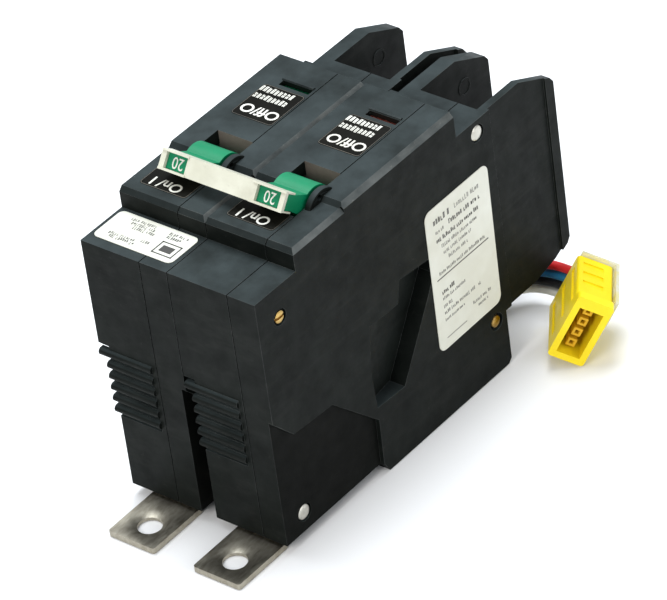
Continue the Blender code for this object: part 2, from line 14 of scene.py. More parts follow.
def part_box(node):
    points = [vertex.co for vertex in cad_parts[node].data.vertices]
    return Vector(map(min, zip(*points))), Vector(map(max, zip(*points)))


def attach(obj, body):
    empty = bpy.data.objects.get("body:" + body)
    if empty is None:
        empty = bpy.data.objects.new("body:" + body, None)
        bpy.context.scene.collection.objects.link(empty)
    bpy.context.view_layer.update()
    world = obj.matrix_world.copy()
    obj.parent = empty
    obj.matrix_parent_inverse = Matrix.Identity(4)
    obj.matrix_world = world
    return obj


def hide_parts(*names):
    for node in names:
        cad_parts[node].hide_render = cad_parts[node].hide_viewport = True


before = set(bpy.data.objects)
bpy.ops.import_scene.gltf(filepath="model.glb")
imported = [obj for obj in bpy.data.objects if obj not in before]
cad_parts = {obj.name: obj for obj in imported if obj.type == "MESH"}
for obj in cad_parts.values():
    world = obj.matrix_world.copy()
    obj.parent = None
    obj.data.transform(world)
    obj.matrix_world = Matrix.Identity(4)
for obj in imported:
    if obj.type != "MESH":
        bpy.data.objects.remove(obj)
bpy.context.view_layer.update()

MM = 0.001
SEED = 7
ORIGIN = Vector((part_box("right_case_base")[0].x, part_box("right_case_cover")[0].y, 0.0))
PAST, ABOVE, BEHIND = 1, 90, 120                # where cutters end, outside the piece they cut
FIT = 0.3                                       # clearance around heads, pins and the connector's parts

# Case; a U is measured from a pole's left side.
PITCH = 25.4
POLES = {"left": -PITCH, "right": 0.0}
SEAM, JOINT_GAP = 17.05, 0.25                   # parting face of a pole's shells, and the air beside it
FACE = PITCH - JOINT_GAP                        # a pole's right face
STEP_Z, DECK_Z, RAISED_Z, STRIP_Z = 71.4, 76.8, 77.9, 71.2    # tops: step, deck, raised deck, rear strip
STEP_Y, RAISED_Y, STRIP_Y, REAR_Y = 14.6, 32.6, 73.8, 84.3    # where each begins or ends; the rear wall
REAR_LIP_Y = 85.15                              # edge of the deck, just over the rear wall
BARRIER_Y, BARRIER_FOOT_Z, FLOOR_Z, FOOT_Y = 110.6, 15.0, 2.6, 36.6
BASE_BARRIER_U, COVER_BARRIER_U = 6.2, 22.65    # inner faces of the barriers
SIDE_INSET, RIGHT_INSET, REAR_INSET = 3.1, 1.15, 2.2    # left and right at the line end, left at the rear
BASE_INSET_RISE = 4.4                           # the left side's inset starts this much higher
REAR_INSET_Y = 82.0
WALL_U, COVER_WALL_U = 5.1, 22.3                # insides of the side walls
WINDOW_U, WINDOW_Y = (7.6, 16.4), (63.6, 65.4)  # the indicator's window
CHANNEL_Y, CHANNEL_Z = (1.15, 3.6), (1, 14.6)   # where the line strap rises behind the front wall
LOAD_SLOT_U, LOAD_SLOT_Z = (9.3, 16.9), (44.1, 46.7)
RIBS, RIB_PITCH, FIRST_RIB_Z = 6, 3.16, 40.4

# Handles
AXLE, AXLE_R = (33.2, 74.4), 1.5
LEVER = math.atan2(0.6, -0.8)                   # the lever's direction when on
BARREL_R, HANDLE_U, CRANK_U, LOBE_U = 5.3, (7.1, 16.75), (8.6, 13.8), 19.1
WELL_U, WELL_Y = 6.8, (25.3, 42.3)              # the opening in the deck around a toggle
TIE_BAR_X = (-18.7, 17.1)
TIE_WINDOWS = ((-17.3, -11.2), (9.1, 15.8))

# Line straps
TAB_U, TAB_T, TAB_FRONT, TAB_CORNER = (8.35, 22.05), 1.5, -15.5, 0.7
BOLT_U, BOLT_Y, BOLT_R = 15.2, -8.6, 3.0

# Fasteners: y, z, head radius, left face, right face; the shown heads of some are smaller
FASTENERS = {
    "case_screw": (7.6, 63.3, 1.8, -PITCH, FACE),
    "rivet_line_end": (7.3, 7.5, 2.0, -PITCH + SIDE_INSET, FACE - RIGHT_INSET),
    "rivet_load_end_top": (81.4, 67.6, 2.0, -PITCH, FACE),
    "rivet_load_end_foot": (80.4, 14.2, 2.0, -PITCH, FACE),
}
HEAD_SHARE = {"case_screw": 0.8, "rivet_load_end_foot": 0.78}
SHANK_R = 1.5

# Control lead
WIRE_R, WIRE_PITCH = 1.1, 2.5
WIRE_EXIT = (11.5, 86.5, 8.95)                  # middle of the column of wires at the case
WIRE_DROP = 1.65                                # the column's middle, below the connector's
WIRES = {"wire_red": 1.5, "wire_blue": 0.5, "wire_black": -0.5, "wire_white": -1.5}
PLUG_SIZE, PLUG_PLACE, PLUG_HEADING, PLUG_ROLL = (18.0, 9.2, 17.5), (36.2, 98.1), -55.0, -29.0

# Labels: height of a film's underside and top over its face, and the top of its print
FILM_LOW, FILM_TOP, PRINT_TOP = 0.03, 0.25, 0.29
DECK_LABELS = {                                 # span in U, span in Y, mark, its size, its middle
    "on": ((2.8, 16.4), (18.4, 25.4), "On/ I", 4.2, (9.3, 20.7)),
    "off": ((4.7, 16.75), (49.3, 62.4), "Off/O", 4.5, (10.9, 52.7)),
}

# Remote operators
OPERATOR_U = 11.3
FLAG_SHIFT = {"left": 0.0, "right": -4.0}       # along Y, at rest


def place(x, y, z):
    return ORIGIN + Vector((x, y, z)) * MM


# ---- Camera --------------------------------------------------------------------------------------------
LENS, SENSOR = 275.25, 36.0
CAMERA_AIM, CAMERA_DISTANCE = (2.45, 50.0, 32.12), 1.1835
AZIMUTH, ELEVATION, ROLL = (math.radians(angle) for angle in (42.87, 36.01, -8.09))


def make_camera():
    data = bpy.data.cameras.new("camera")
    data.lens, data.sensor_width = LENS, SENSOR
    data.clip_start, data.clip_end = 0.1, 20.0
    item = bpy.data.objects.new("camera", data)
    back = Vector((math.sin(AZIMUTH) * math.cos(ELEVATION), -math.cos(AZIMUTH) * math.cos(ELEVATION),
                   math.sin(ELEVATION)))
    right = Vector((math.cos(AZIMUTH), math.sin(AZIMUTH), 0))
    up = back.cross(right)
    c, s = math.cos(ROLL), math.sin(ROLL)
    right, up = right * c + up * s, up * c - right * s
    turn = Matrix((right, up, back)).transposed().to_4x4()
    item.matrix_world = Matrix.Translation(place(*CAMERA_AIM) + back * CAMERA_DISTANCE) @ turn
    bpy.context.scene.collection.objects.link(item)
    bpy.context.scene.camera = item


make_camera()


# ---- Materials -----------------------------------------------------------------------------------------
def material(name, roughness, metallic=0.0, coat=0.0, transmission=0.0, specular=0.5):
    item = bpy.data.materials.new(name)
    item.use_nodes = True
    shader = item.node_tree.nodes["Principled BSDF"]
    shader.inputs["Roughness"].default_value = roughness
    shader.inputs["Metallic"].default_value = metallic
    shader.inputs["Coat Weight"].default_value = coat
    shader.inputs["Specular IOR Level"].default_value = specular
    shader.inputs["Transmission Weight"].default_value = transmission
    return item, item.node_tree, shader


def node(tree, kind, **inputs):
    item = tree.nodes.new(kind)
    for key, value in inputs.items():
        item.inputs[key.replace("_", " ")].default_value = value
    return item


def noise(tree, scale, detail=4.0, stretch=(1, 1, 1)):
    """Noise in the object's own coordinates; scale is in cycles per metre."""
    coords = tree.nodes.new("ShaderNodeTexCoord")
    mapping = node(tree, "ShaderNodeMapping")
    mapping.inputs["Scale"].default_value = stretch
    pattern = node(tree, "ShaderNodeTexNoise", Scale=scale, Detail=detail, Roughness=0.6)
    tree.links.new(coords.outputs["Object"], mapping.inputs["Vector"])
    tree.links.new(mapping.outputs["Vector"], pattern.inputs["Vector"])
    return pattern.outputs["Fac"]


def ramp(tree, factor, stops):
    item = tree.nodes.new("ShaderNodeValToRGB")
    elements = item.color_ramp.elements
    for i, (position, colour) in enumerate(stops):
        element = elements[i] if i < 2 else elements.new(position)
        element.position = position
        element.color = (*colour, 1)
    tree.links.new(factor, item.inputs["Fac"])
    return item.outputs["Color"]


def mix(tree, factor, a, b, blend="MIX"):
    item = tree.nodes.new("ShaderNodeMix")
    item.data_type, item.blend_type = "RGBA", blend
    for value, socket in ((factor, item.inputs[0]), (a, item.inputs[6]), (b, item.inputs[7])):
        if hasattr(value, "is_linked"):
            tree.links.new(value, socket)
        elif isinstance(value, float):
            socket.default_value = value
        else:
            socket.default_value = (*value, 1)
    return item.outputs[2]


def grey(low, high):
    return [(low, (0, 0, 0)), (high, (1, 1, 1))]


def bump(tree, shader, height, strength, distance):
    item = node(tree, "ShaderNodeBump", Strength=strength, Distance=distance)
    tree.links.new(height, item.inputs["Height"])
    tree.links.new(item.outputs["Normal"], shader.inputs["Normal"])


def dust_and_top_light_mask(tree):
    """Where fine dust settles and painted top light falls: faces that look up, in uneven patches."""
    coords = tree.nodes.new("ShaderNodeTexCoord")
    parts = tree.nodes.new("ShaderNodeSeparateXYZ")
    tree.links.new(coords.outputs["Normal"], parts.inputs["Vector"])
    facing = ramp(tree, parts.outputs["Z"], grey(0.55, 0.98))
    patches = ramp(tree, noise(tree, 75, 7), [(0.33, (0.3,) * 3), (0.68, (1, 1, 1))])
    return mix(tree, 1.0, facing, patches, "MULTIPLY")


def moulded(name, dark, light, dust, dusty=0.25, roughness=(0.42, 0.62), specular=0.25, top_dust_and_light_colour=None):
    """Moulded plastic: clouded tone, fine grain, dust in specks and faint handling streaks; if given,
    up-facing faces move towards a colour that is part settled dust and part painted top light.
    """
    item, tree, shader = material(name, 0.5, specular=specular)
    tone = ramp(tree, noise(tree, 95, 5), [(0.3, dark), (0.72, light)])
    specks = ramp(tree, noise(tree, 900, 6), grey(0.62, 0.82))
    streaks = ramp(tree, noise(tree, 150, 6, (1, 0.35, 3.2)), grey(0.52, 0.86))
    soil = mix(tree, 0.55, specks, streaks, "ADD")
    limited = mix(tree, 1.0, soil, (dusty, dusty, dusty), "MULTIPLY")
    colour = mix(tree, limited, tone, dust)
    # Up-facing faces shift towards the given colour, keeping a quarter of their own tone: part settled dust,
    # part painted top light.
    if top_dust_and_light_colour:
        colour = mix(tree, dust_and_top_light_mask(tree), colour, mix(tree, 0.25, top_dust_and_light_colour, colour))
    tree.links.new(colour, shader.inputs["Base Color"])
    low, high = roughness
    rough = ramp(tree, noise(tree, 240, 5), [(0.3, (low,) * 3), (0.7, (high,) * 3)])
    tree.links.new(rough, shader.inputs["Roughness"])
    bump(tree, shader, noise(tree, 2600, 3), 0.25, 0.00006)
    return item


def metal(name, dark, light, stretch=(1, 14, 1), roughness=(0.28, 0.5), stain=(0.2, 0.16, 0.11)):
    """Rolled or plated metal with fine scratches and a few stains."""
    item, tree, shader = material(name, 0.4, metallic=1.0)
    lines = noise(tree, 420, 8, stretch)
    tone = ramp(tree, lines, [(0.3, dark), (0.7, light)])
    spots = ramp(tree, noise(tree, 130, 5), grey(0.6, 0.85))
    tree.links.new(mix(tree, spots, tone, stain), shader.inputs["Base Color"])
    rough = ramp(tree, lines, [(0.25, (roughness[0],) * 3), (0.75, (roughness[1],) * 3)])
    tree.links.new(rough, shader.inputs["Roughness"])
    bump(tree, shader, lines, 0.15, 0.00005)
    return item


def printed(name, paper, shade):
    """Label film with slight yellowing and grime."""
    item, tree, shader = material(name, 0.5)
    tone = ramp(tree, noise(tree, 60, 4), [(0.35, shade), (0.65, paper)])
    grime = ramp(tree, noise(tree, 420, 7), grey(0.66, 0.9))
    soil = mix(tree, 1.0, grime, (0.35, 0.35, 0.35), "MULTIPLY")
    tree.links.new(mix(tree, soil, tone, (0.32, 0.3, 0.26)), shader.inputs["Base Color"])
    bump(tree, shader, noise(tree, 1800, 2), 0.08, 0.00004)
    return item


def clear_plastic(name):
    """Clear plastic, yellowed in patches."""
    item, tree, shader = material(name, 0.22, coat=0.4, transmission=0.45)
    tone = ramp(tree, noise(tree, 200, 4), [(0.36, (0.85, 0.76, 0.2)), (0.62, (0.88, 0.87, 0.78))])
    tree.links.new(tone, shader.inputs["Base Color"])
    return item


# On the case plastic the last colour lightens up-facing faces to blue-grey: part settled dust, part painted
# top light.
CASE = moulded("case_plastic", (0.004, 0.0052, 0.0045), (0.0085, 0.0105, 0.0092), (0.1, 0.1, 0.09), 0.13,
               specular=0.06, top_dust_and_light_colour=(0.05, 0.064, 0.066))
# Darker copy of the case plastic for the right face's shallow inset: painted shade in the recess.
SHADED_RECESS = moulded("case_recess_painted_shade", (0.003, 0.0035, 0.003), (0.0055, 0.006, 0.0052), (0.06, 0.06, 0.05), 0.06,
                 specular=0.03)
# Lighter plastic on bevels and top chamfers: worn edges, and on the up-facing chamfers a painted highlight.
EDGE_WEAR_AND_HIGHLIGHT = moulded("case_edge_wear_and_highlight", (0.03, 0.036, 0.036), (0.11, 0.117, 0.113), (0.28, 0.27, 0.24), 0.5,
               specular=0.1)
WELL_WALL = moulded("well_wall", (0.12, 0.095, 0.082), (0.2, 0.165, 0.145), (0.26, 0.22, 0.19), 0.4)
LABEL_BLACK = moulded("label_black", (0.0035, 0.0035, 0.0025), (0.008, 0.0078, 0.006), (0.1, 0.09, 0.07),
                      0.08, (0.45, 0.55), specular=0.05)
GREEN = moulded("green_plastic", (0.0, 0.17, 0.07), (0.001, 0.22, 0.095), (0.06, 0.3, 0.17), 0.15,
                (0.35, 0.5), specular=0.3)
CREAM = moulded("cream_plastic", (0.5, 0.49, 0.39), (0.66, 0.655, 0.55), (0.3, 0.28, 0.22), 0.35,
                (0.3, 0.45))
YELLOW = moulded("yellow_plastic", (0.8, 0.6, 0.006), (0.9, 0.7, 0.015), (0.5, 0.4, 0.05), 0.2,
                 (0.3, 0.45))
# Darker orange copy of the yellow plastic for the connector's inside: painted shade.
SHADED_YELLOW = moulded("shaded_yellow_plastic", (0.6, 0.33, 0.01), (0.75, 0.46, 0.02), (0.3, 0.2, 0.05), 0.2)
BROWN = moulded("phenolic", (0.16, 0.05, 0.035), (0.25, 0.09, 0.06), (0.2, 0.15, 0.1), 0.2)
RED_BROWN = moulded("red_brown_plastic", (0.3, 0.06, 0.045), (0.42, 0.1, 0.07), (0.2, 0.15, 0.1), 0.2)
RIVET = metal("rivet_nickel", (0.42, 0.41, 0.36), (0.6, 0.58, 0.52), (1, 1, 1), (0.3, 0.42))
RUBBER = moulded("rubber", (0.012, 0.012, 0.012), (0.03, 0.03, 0.03), (0.1, 0.1, 0.1), 0.2, (0.6, 0.8))
TIN = metal("plated_strap", (0.3, 0.272, 0.215), (0.45, 0.42, 0.345), (3, 1, 1), (0.32, 0.44),
            (0.2, 0.15, 0.1))
STEEL = metal("plain_steel", (0.34, 0.34, 0.33), (0.58, 0.58, 0.56))
BRASS = metal("brass", (0.24, 0.14, 0.04), (0.62, 0.42, 0.14), (1, 1, 1), (0.2, 0.42),
              (0.08, 0.05, 0.03))
COPPER = metal("copper", (0.42, 0.16, 0.09), (0.68, 0.33, 0.2))
PAPER = printed("label_paper", (0.66, 0.665, 0.59), (0.58, 0.575, 0.49))
INK = printed("label_ink", (0.035, 0.034, 0.03), (0.07, 0.065, 0.06))
FADED_INK = printed("faded_ink", (0.13, 0.13, 0.12), (0.24, 0.235, 0.21))
WHITE_INK = printed("white_print", (0.78, 0.78, 0.72), (0.62, 0.61, 0.54))
BORDER_INK = printed("border_print", (0.05, 0.047, 0.038), (0.1, 0.09, 0.07))
CLEAR = clear_plastic("clear_plastic")
WIRE_COLOURS = {
    "wire_red": moulded("red_insulation", (0.5, 0.01, 0.012), (0.68, 0.03, 0.03), (0.5, 0.2, 0.2), 0.15),
    "wire_blue": moulded("blue_insulation", (0.01, 0.1, 0.22), (0.02, 0.2, 0.36), (0.2, 0.3, 0.4), 0.15),
    "wire_black": moulded("black_insulation", (0.008, 0.008, 0.008), (0.02, 0.02, 0.02),
                          (0.1, 0.1, 0.1), 0.15),
    "wire_white": moulded("white_insulation", (0.6, 0.6, 0.54), (0.76, 0.76, 0.7), (0.4, 0.38, 0.33),
                          0.25),
}


# ---- Solid tools (local millimetres) -------------------------------------------------------------------
def spread(axis, a, b, along):
    return {"X": (along, a, b), "Y": (a, along, b), "Z": (a, b, along)}[axis]


def solid(name, rings):
    mesh = bmesh.new()
    loops = [[mesh.verts.new(ORIGIN + Vector(point) * MM) for point in ring] for ring in rings]
    for lower, upper in zip(loops, loops[1:]):
        for i, vert in enumerate(lower):
            j = (i + 1) % len(lower)
            mesh.faces.new((vert, lower[j], upper[j], upper[i]))
    mesh.faces.new(loops[0])
    mesh.faces.new(loops[-1])
    bmesh.ops.recalc_face_normals(mesh, faces=mesh.faces)
    data = bpy.data.meshes.new(name)
    mesh.to_mesh(data)
    mesh.free()
    item = bpy.data.objects.new(name, data)
    bpy.context.scene.collection.objects.link(item)
    return item


def prism(name, axis, outline, low, high):
    return solid(name, [[spread(axis, a, b, along) for a, b in outline] for along in (low, high)])


def block(name, x, y, z):
    return prism(name, "X", [(y[0], z[0]), (y[1], z[0]), (y[1], z[1]), (y[0], z[1])], *x)


def circle(centre, radius, sides=48):
    turn = 2 * math.pi / sides
    return [(centre[0] + radius * math.cos(i * turn), centre[1] + radius * math.sin(i * turn))
            for i in range(sides)]


def rod(name, axis, centre, radius, low, high, sides=48):
    return prism(name, axis, circle(centre, radius, sides), low, high)


def cone(name, axis, centre, radii, low, high, sides=48):
    rings = [[spread(axis, a, b, along) for a, b in circle(centre, radius, sides)]
             for radius, along in zip(radii, (low, high))]
    return solid(name, rings)


def arc(centre, radius, start, end, steps=6):
    angles = [math.radians(start + (end - start) * i / steps) for i in range(steps + 1)]
    return [(centre[0] + radius * math.cos(t), centre[1] + radius * math.sin(t)) for t in angles]


def rounded(a, b, radius):
    corners = ((a[1], b[1], 0), (a[0], b[1], 90), (a[0], b[0], 180), (a[1], b[0], 270))
    points = []
    for ca, cb, start in corners:
        centre = (ca - math.copysign(radius, ca - sum(a) / 2), cb - math.copysign(radius, cb - sum(b) / 2))
        points += arc(centre, radius, start, start + 90, 5)
    return points


def apply_modifier(item, modifier):
    with bpy.context.temp_override(object=item):
        bpy.ops.object.modifier_apply(modifier=modifier.name)


def combine(item, tools, operation):
    for tool in tools:
        step = item.modifiers.new("step", "BOOLEAN")
        step.operation, step.solver, step.object = operation, "EXACT", tool
        apply_modifier(item, step)
        bpy.data.objects.remove(tool)
    return item


def add(item, *tools):
    return combine(item, tools, "UNION")


def cut(item, *tools):
    return combine(item, tools, "DIFFERENCE")


def dress(item, finish, body, nodes=(), edge=None, width=0.3, segments=2, angle=32):
    """Shade, bevel, paint and mount a finished piece."""
    data = item.data
    data.materials.clear()
    data.materials.append(finish)
    if edge:
        data.materials.append(edge)
    for polygon in data.polygons:
        polygon.use_smooth = True
    data.set_sharp_from_angle(angle=math.radians(angle))
    if width:
        step = item.modifiers.new("edges", "BEVEL")
        step.width, step.segments, step.limit_method = width * MM, segments, "ANGLE"
        step.angle_limit = math.radians(angle)
        step.harden_normals = True
        step.use_clamp_overlap = True
        if edge:
            step.material = 1
        apply_modifier(item, step)
    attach(item, body)
    if nodes:
        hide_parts(*nodes)
    return item


def join(name, items):
    """One mesh object from several, keeping its name."""
    mesh = bmesh.new()
    for item in items:
        mesh.from_mesh(item.data)
        bpy.data.objects.remove(item)
    data = bpy.data.meshes.new(name)
    mesh.to_mesh(data)
    mesh.free()
    item = bpy.data.objects.new(name, data)
    bpy.context.scene.collection.objects.link(item)
    return item


# ---- Control lead --------------------------------------------------------------------------------------
def plug_frame():
    turn = (Matrix.Rotation(math.radians(PLUG_HEADING), 4, "Z")
            @ Matrix.Rotation(math.radians(PLUG_ROLL), 4, "X"))
    lift = abs(turn[2][1]) * PLUG_SIZE[1] / 2 + abs(turn[2][2]) * PLUG_SIZE[2] / 2
    return Matrix.Translation((*PLUG_PLACE, lift + 0.02)) @ turn


def smooth_route(points, per_span):
    ends = [2 * Vector(points[0]) - Vector(points[1]), 2 * Vector(points[-1]) - Vector(points[-2])]
    p = [ends[0], *map(Vector, points), ends[1]]
    route = []
    for i in range(1, len(p) - 2):
        for step in range(per_span):
            t = step / per_span
            route.append(0.5 * (2 * p[i] + (p[i + 1] - p[i - 1]) * t
                                + (2 * p[i - 1] - 5 * p[i] + 4 * p[i + 1] - p[i + 2]) * t ** 2
                                + (3 * p[i] - p[i - 1] - 3 * p[i + 1] + p[i + 2]) * t ** 3))
    return [*route, Vector(points[-1])]


def wire_route(slot):
    plug = plug_frame()
    x, y, z = WIRE_EXIT
    behind = [plug @ Vector((-PLUG_SIZE[0] / 2 - FIT - gap, 0, -WIRE_DROP)) for gap in (1.1, 0)]
    up, tall = Vector((0, 0, 1)), plug.to_3x3() @ Vector((0, 0, 1))
    middle = [WIRE_EXIT, (x, y + 2.6, z - 0.1), (x, y + 8.5, z - 0.6), (x + 0.9, y + 14.6, z - 1.0),
              (x + 4.2, y + 19.4, z - 1.2), (x + 9.2, y + 21.0, z - 1.0), (x + 14.7, y + 20.7, z - 0.6),
              (x + 16.8, y + 20.1, z - 0.5), *behind]
    points = []
    for i, centre in enumerate(middle):
        lean = up.lerp(tall, i / (len(middle) - 1)).normalized()
        points.append(Vector(centre) + slot * WIRE_PITCH * lean)
    return smooth_route(points, 3)


def make_wires(ends):
    for name, slot in WIRES.items():
        route = [ORIGIN + point * MM for point in wire_route(slot)]
        data = bpy.data.curves.new(name, "CURVE")
        data.dimensions, data.bevel_depth, data.bevel_resolution = "3D", WIRE_R * MM, 5
        data.use_fill_caps = True
        spline = data.splines.new("POLY")
        spline.points.add(len(route) - 1)
        for point, where in zip(spline.points, route):
            point.co = (*where, 1)
        spline.use_smooth = True
        item = bpy.data.objects.new(name + "_insulation", data)
        bpy.context.scene.collection.objects.link(item)
        data.materials.append(WIRE_COLOURS[name])
        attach(item, "case")
        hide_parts(name)


def place_plug(item):
    shift = Matrix.Translation(ORIGIN / MM)
    turn = shift @ plug_frame() @ shift.inverted()
    for vert in item.data.vertices:
        vert.co = (turn @ (vert.co / MM)) * MM
    return item


def make_connector():
    length, width, height = (size / 2 for size in PLUG_SIZE)
    sides, corner = (-width, width), 0.9
    shell = prism("connector_shell", "X", rounded(sides, (-height, height), corner), -length, length)
    add(shell, prism("rim", "X", rounded(sides, (-height, height + 1.2), corner), length - 2.4, length))
    cut(shell, block("mouth", (length - 10, length + PAST), (1.6 - width, width - 1.6),
                     (1.8 - height, height - 1.8)))
    tools = [block("side groove", (-length + 2.2, length - 4.0), (-width - PAST, -width + 0.45),
                   (z - 0.9, z + 0.9)) for z in (-5.2, 0.4, 6.0)]
    tools += [block("top groove", (-length + 2 + 3.6 * k, -length + 3.6 + 3.6 * k),
                    (-width + 1.4, width - 2.6), (height - 0.35, height + PAST)) for k in range(3)]
    tools += [rod("wire hole", "X", (0, slot * WIRE_PITCH - WIRE_DROP), 1.35, -length - PAST,
                  -length + 0.25, 24) for slot in WIRES.values()]
    cut(shell, *tools)
    place_plug(shell)
    dress(shell, YELLOW, "case", ["connector_housing"], width=0.28)

    # Plate on the mouth's floor and the contact posts, in the darker yellow: painted shade inside the mouth.
    shaded_inside = block("connector_shaded_inside", (length - 10.2, length - 9.4), (1.7 - width, width - 1.7),
                   (1.9 - height, height - 1.9))
    posts = []
    post, hole = 1.15, 0.5                      # half widths of a contact's post and its opening
    for k in range(4):
        z = -4.95 + 3.3 * k
        item = block("post", (length - 9.6, length - 2.6), (-post, post), (z - post, z + post))
        cut(item, block("socket", (length - 6, length), (-hole, hole), (z - hole, z + hole)))
        posts.append(item)
    shaded_inside = join("connector_shaded_inside", [shaded_inside, *posts])
    place_plug(shaded_inside)
    dress(shaded_inside, SHADED_YELLOW, "case", width=0.12)

    top, foot = height + 0.9, height - 9.0
    outline = [(width + FIT, top), (width + FIT, foot), (width + 1.2, foot), (width + 1.2, top)]
    lock = prism("connector_clear_lock", "X", outline, -length - 1.0, length - 3.2)
    add(lock, block("rear strip", (-length - 1.0, -length - FIT), (-width + 0.8, width + 0.5),
                    (height - 3.0, top)))
    place_plug(lock)
    dress(lock, CLEAR, "case", ["connector_lock"], width=0.25)
    return [shell, shaded_inside, lock]


make_wires(make_connector())


# ---- Case shells ---------------------------------------------------------------------------------------
def case_outline():
    chamfer = 1.1
    return [(0, FLOOR_Z), (0, STEP_Z), (STEP_Y, STEP_Z), (STEP_Y, DECK_Z - chamfer),
            (STEP_Y + chamfer, DECK_Z), (RAISED_Y, DECK_Z), (RAISED_Y + 1.2, RAISED_Z),
            (STRIP_Y, RAISED_Z), (STRIP_Y, STRIP_Z), (REAR_LIP_Y, STRIP_Z), (REAR_LIP_Y, 66.6),
            (REAR_Y, 65.7), (REAR_Y, 1.2), (REAR_Y - 1.2, 0), (FOOT_Y, 0), (FOOT_Y - 1.4, FLOOR_Z)]


def barrier(low, high):
    front = REAR_Y - 1
    outline = [(front, BARRIER_FOOT_Z), (97.0, BARRIER_FOOT_Z), (105.0, 16.6), (109.6, 18.6),
               (BARRIER_Y, 20.0), (BARRIER_Y, 64.6), (109.4, 66.2), (98.4, STRIP_Z), (front, STRIP_Z)]
    return prism("fin", "X", outline, low, high)


def inset(rise, low, high):
    """Cutter for the shallow inset at the foot of the line end."""
    outline = [(-2, -2), (-2, 38.2 + rise), (0, 38.2 + rise), (6.4, 31.2 + rise), (20.3, 30.2 + rise),
               (35.2, 15.6 + rise), (34.9, FLOOR_Z), (34.9, -2)]
    return prism("inset", "X", outline, low, high)


CAVITY_FRONT = [(3.4, 5), (3.4, 68.6), (17.4, 68.6), (17.4, 74.2)]
CAVITY_REAR = [(71.2, 66), (79.4, 64.2), (81.6, 62), (81.6, 20), (77.6, 17), (77.6, 11.4), (81.6, 11.4),
               (81.6, 5)]
BASE_CAVITY = [*CAVITY_FRONT, (43.6, 74.2), (43.6, 76.7), (71.2, 76.7), *CAVITY_REAR]
COVER_CAVITY = [*CAVITY_FRONT, (71.2, 74.2), *CAVITY_REAR, (64.4, 5), (64.4, 53), (42, 53), (42, 64),
                (24, 64), (24, 53), (31.5, 53), (31.5, 5)]


def fastener_holes(low, high):
    return [rod("hole", "X", (y, z), SHANK_R + FIT, low, high, 24) for y, z, *_ in FASTENERS.values()]


def counterbores(side, left):
    """Seats of the heads, on the outer face of the left base or the right cover."""
    if side != ("left" if left else "right"):
        return []
    tools = []
    for y, z, head, x_left, x_right in FASTENERS.values():
        span = (x_left - 4, x_left + 1.05) if left else (x_right - 1.05, x_right + 4)
        tools.append(rod("counterbore", "X", (y, z), head + FIT, *span, 36))
    return tools


def paint_faces(item, index, test):
    for polygon in item.data.polygons:
        if test((polygon.center - ORIGIN) / MM, polygon.normal):
            polygon.material_index = index


def add_grip_ribs(base, pole):
    """Half-round ribs with a groove under each; the first one reaches the pole's left side."""
    for i in range(RIBS):
        middle = FIRST_RIB_Z - RIB_PITCH * i
        start = pole + (0.4 if i == 0 else 2.3)
        outline = [(0.9, middle - 1.0), *arc((0.1, middle), 1.0, 270, 90, 10), (0.9, middle + 1.0)]
        groove = [(-0.6, middle - 1.0), (0.5, middle - 1.15), (0.5, middle - 2.0), (-0.6, middle - 2.12)]
        cut(base, prism("groove", "X", groove, start - (PAST if i == 0 else 0), pole + 15.6))
        add(base, prism("rib", "X", outline, start, pole + 15.8))


def window_lip(pole):
    outline = [(65.4, RAISED_Z - 0.5), (65.4, RAISED_Z + 0.1), (65.7, RAISED_Z + 0.4),
               (66.2, RAISED_Z + 0.4), (66.9, RAISED_Z - 0.5)]
    return prism("window lip", "X", outline, pole + 7.2, pole + 16.4)


def embossed_ring(pole):
    """Thin raised ring on the inner face of the base's barrier."""
    centre, face = (100.9, 62.6), pole + BASE_BARRIER_U
    ring = rod("ring", "X", centre, 2.3, face - 0.1, face + 0.15, 40)
    return cut(ring, rod("inside", "X", centre, 1.85, face - 0.2, face + PAST, 40))


def make_base(side, pole):
    seam = pole + SEAM
    base = prism(f"{side}_base_shell", "X", case_outline(), pole, seam)
    add(base, barrier(pole + REAR_INSET, pole + BASE_BARRIER_U))
    cut(base,
        inset(BASE_INSET_RISE, pole - PAST, pole + SIDE_INSET),
        block("rear inset", (pole - PAST, pole + REAR_INSET), (REAR_INSET_Y, BEHIND),
              (BARRIER_FOOT_Z, ABOVE)),
        prism("cavity", "X", BASE_CAVITY, pole + WALL_U, seam + PAST),
        block("well", (pole + WELL_U, seam + PAST), WELL_Y, (70, ABOVE)),
        block("window", (pole + WINDOW_U[0], pole + WINDOW_U[1]), WINDOW_Y, (72, ABOVE)),
        block("channel", (pole + 8.05, seam + PAST), CHANNEL_Y, CHANNEL_Z),
        block("load slot", (pole + LOAD_SLOT_U[0], pole + LOAD_SLOT_U[1]), (80, ABOVE), LOAD_SLOT_Z),
        *fastener_holes(pole - PAST, seam + PAST),
        *counterbores(side, left=True))
    if side == "right":
        x, _, z = WIRE_EXIT
        cut(base, block("wire exit", (x - 2.7, x + 2.7), (80, ABOVE), (z - 6.5, z + 6.5)))
    add_grip_ribs(base, pole)
    rear = WELL_Y[1]
    add(base, block("well's rear wall", (pole + WALL_U - 0.2, seam), (rear, rear + 1.3), (70.3, 77.2)))
    add(base, window_lip(pole))
    add(base, embossed_ring(pole))
    dress(base, CASE, "case", [f"{side}_case_base"], edge=EDGE_WEAR_AND_HIGHLIGHT)
    base.data.materials.append(WELL_WALL)
    paint_faces(base, 2, lambda c, n: abs(c.y - rear) < 0.3 and n.y < -0.7 and c.z > 70
                and pole + 6 < c.x < seam)


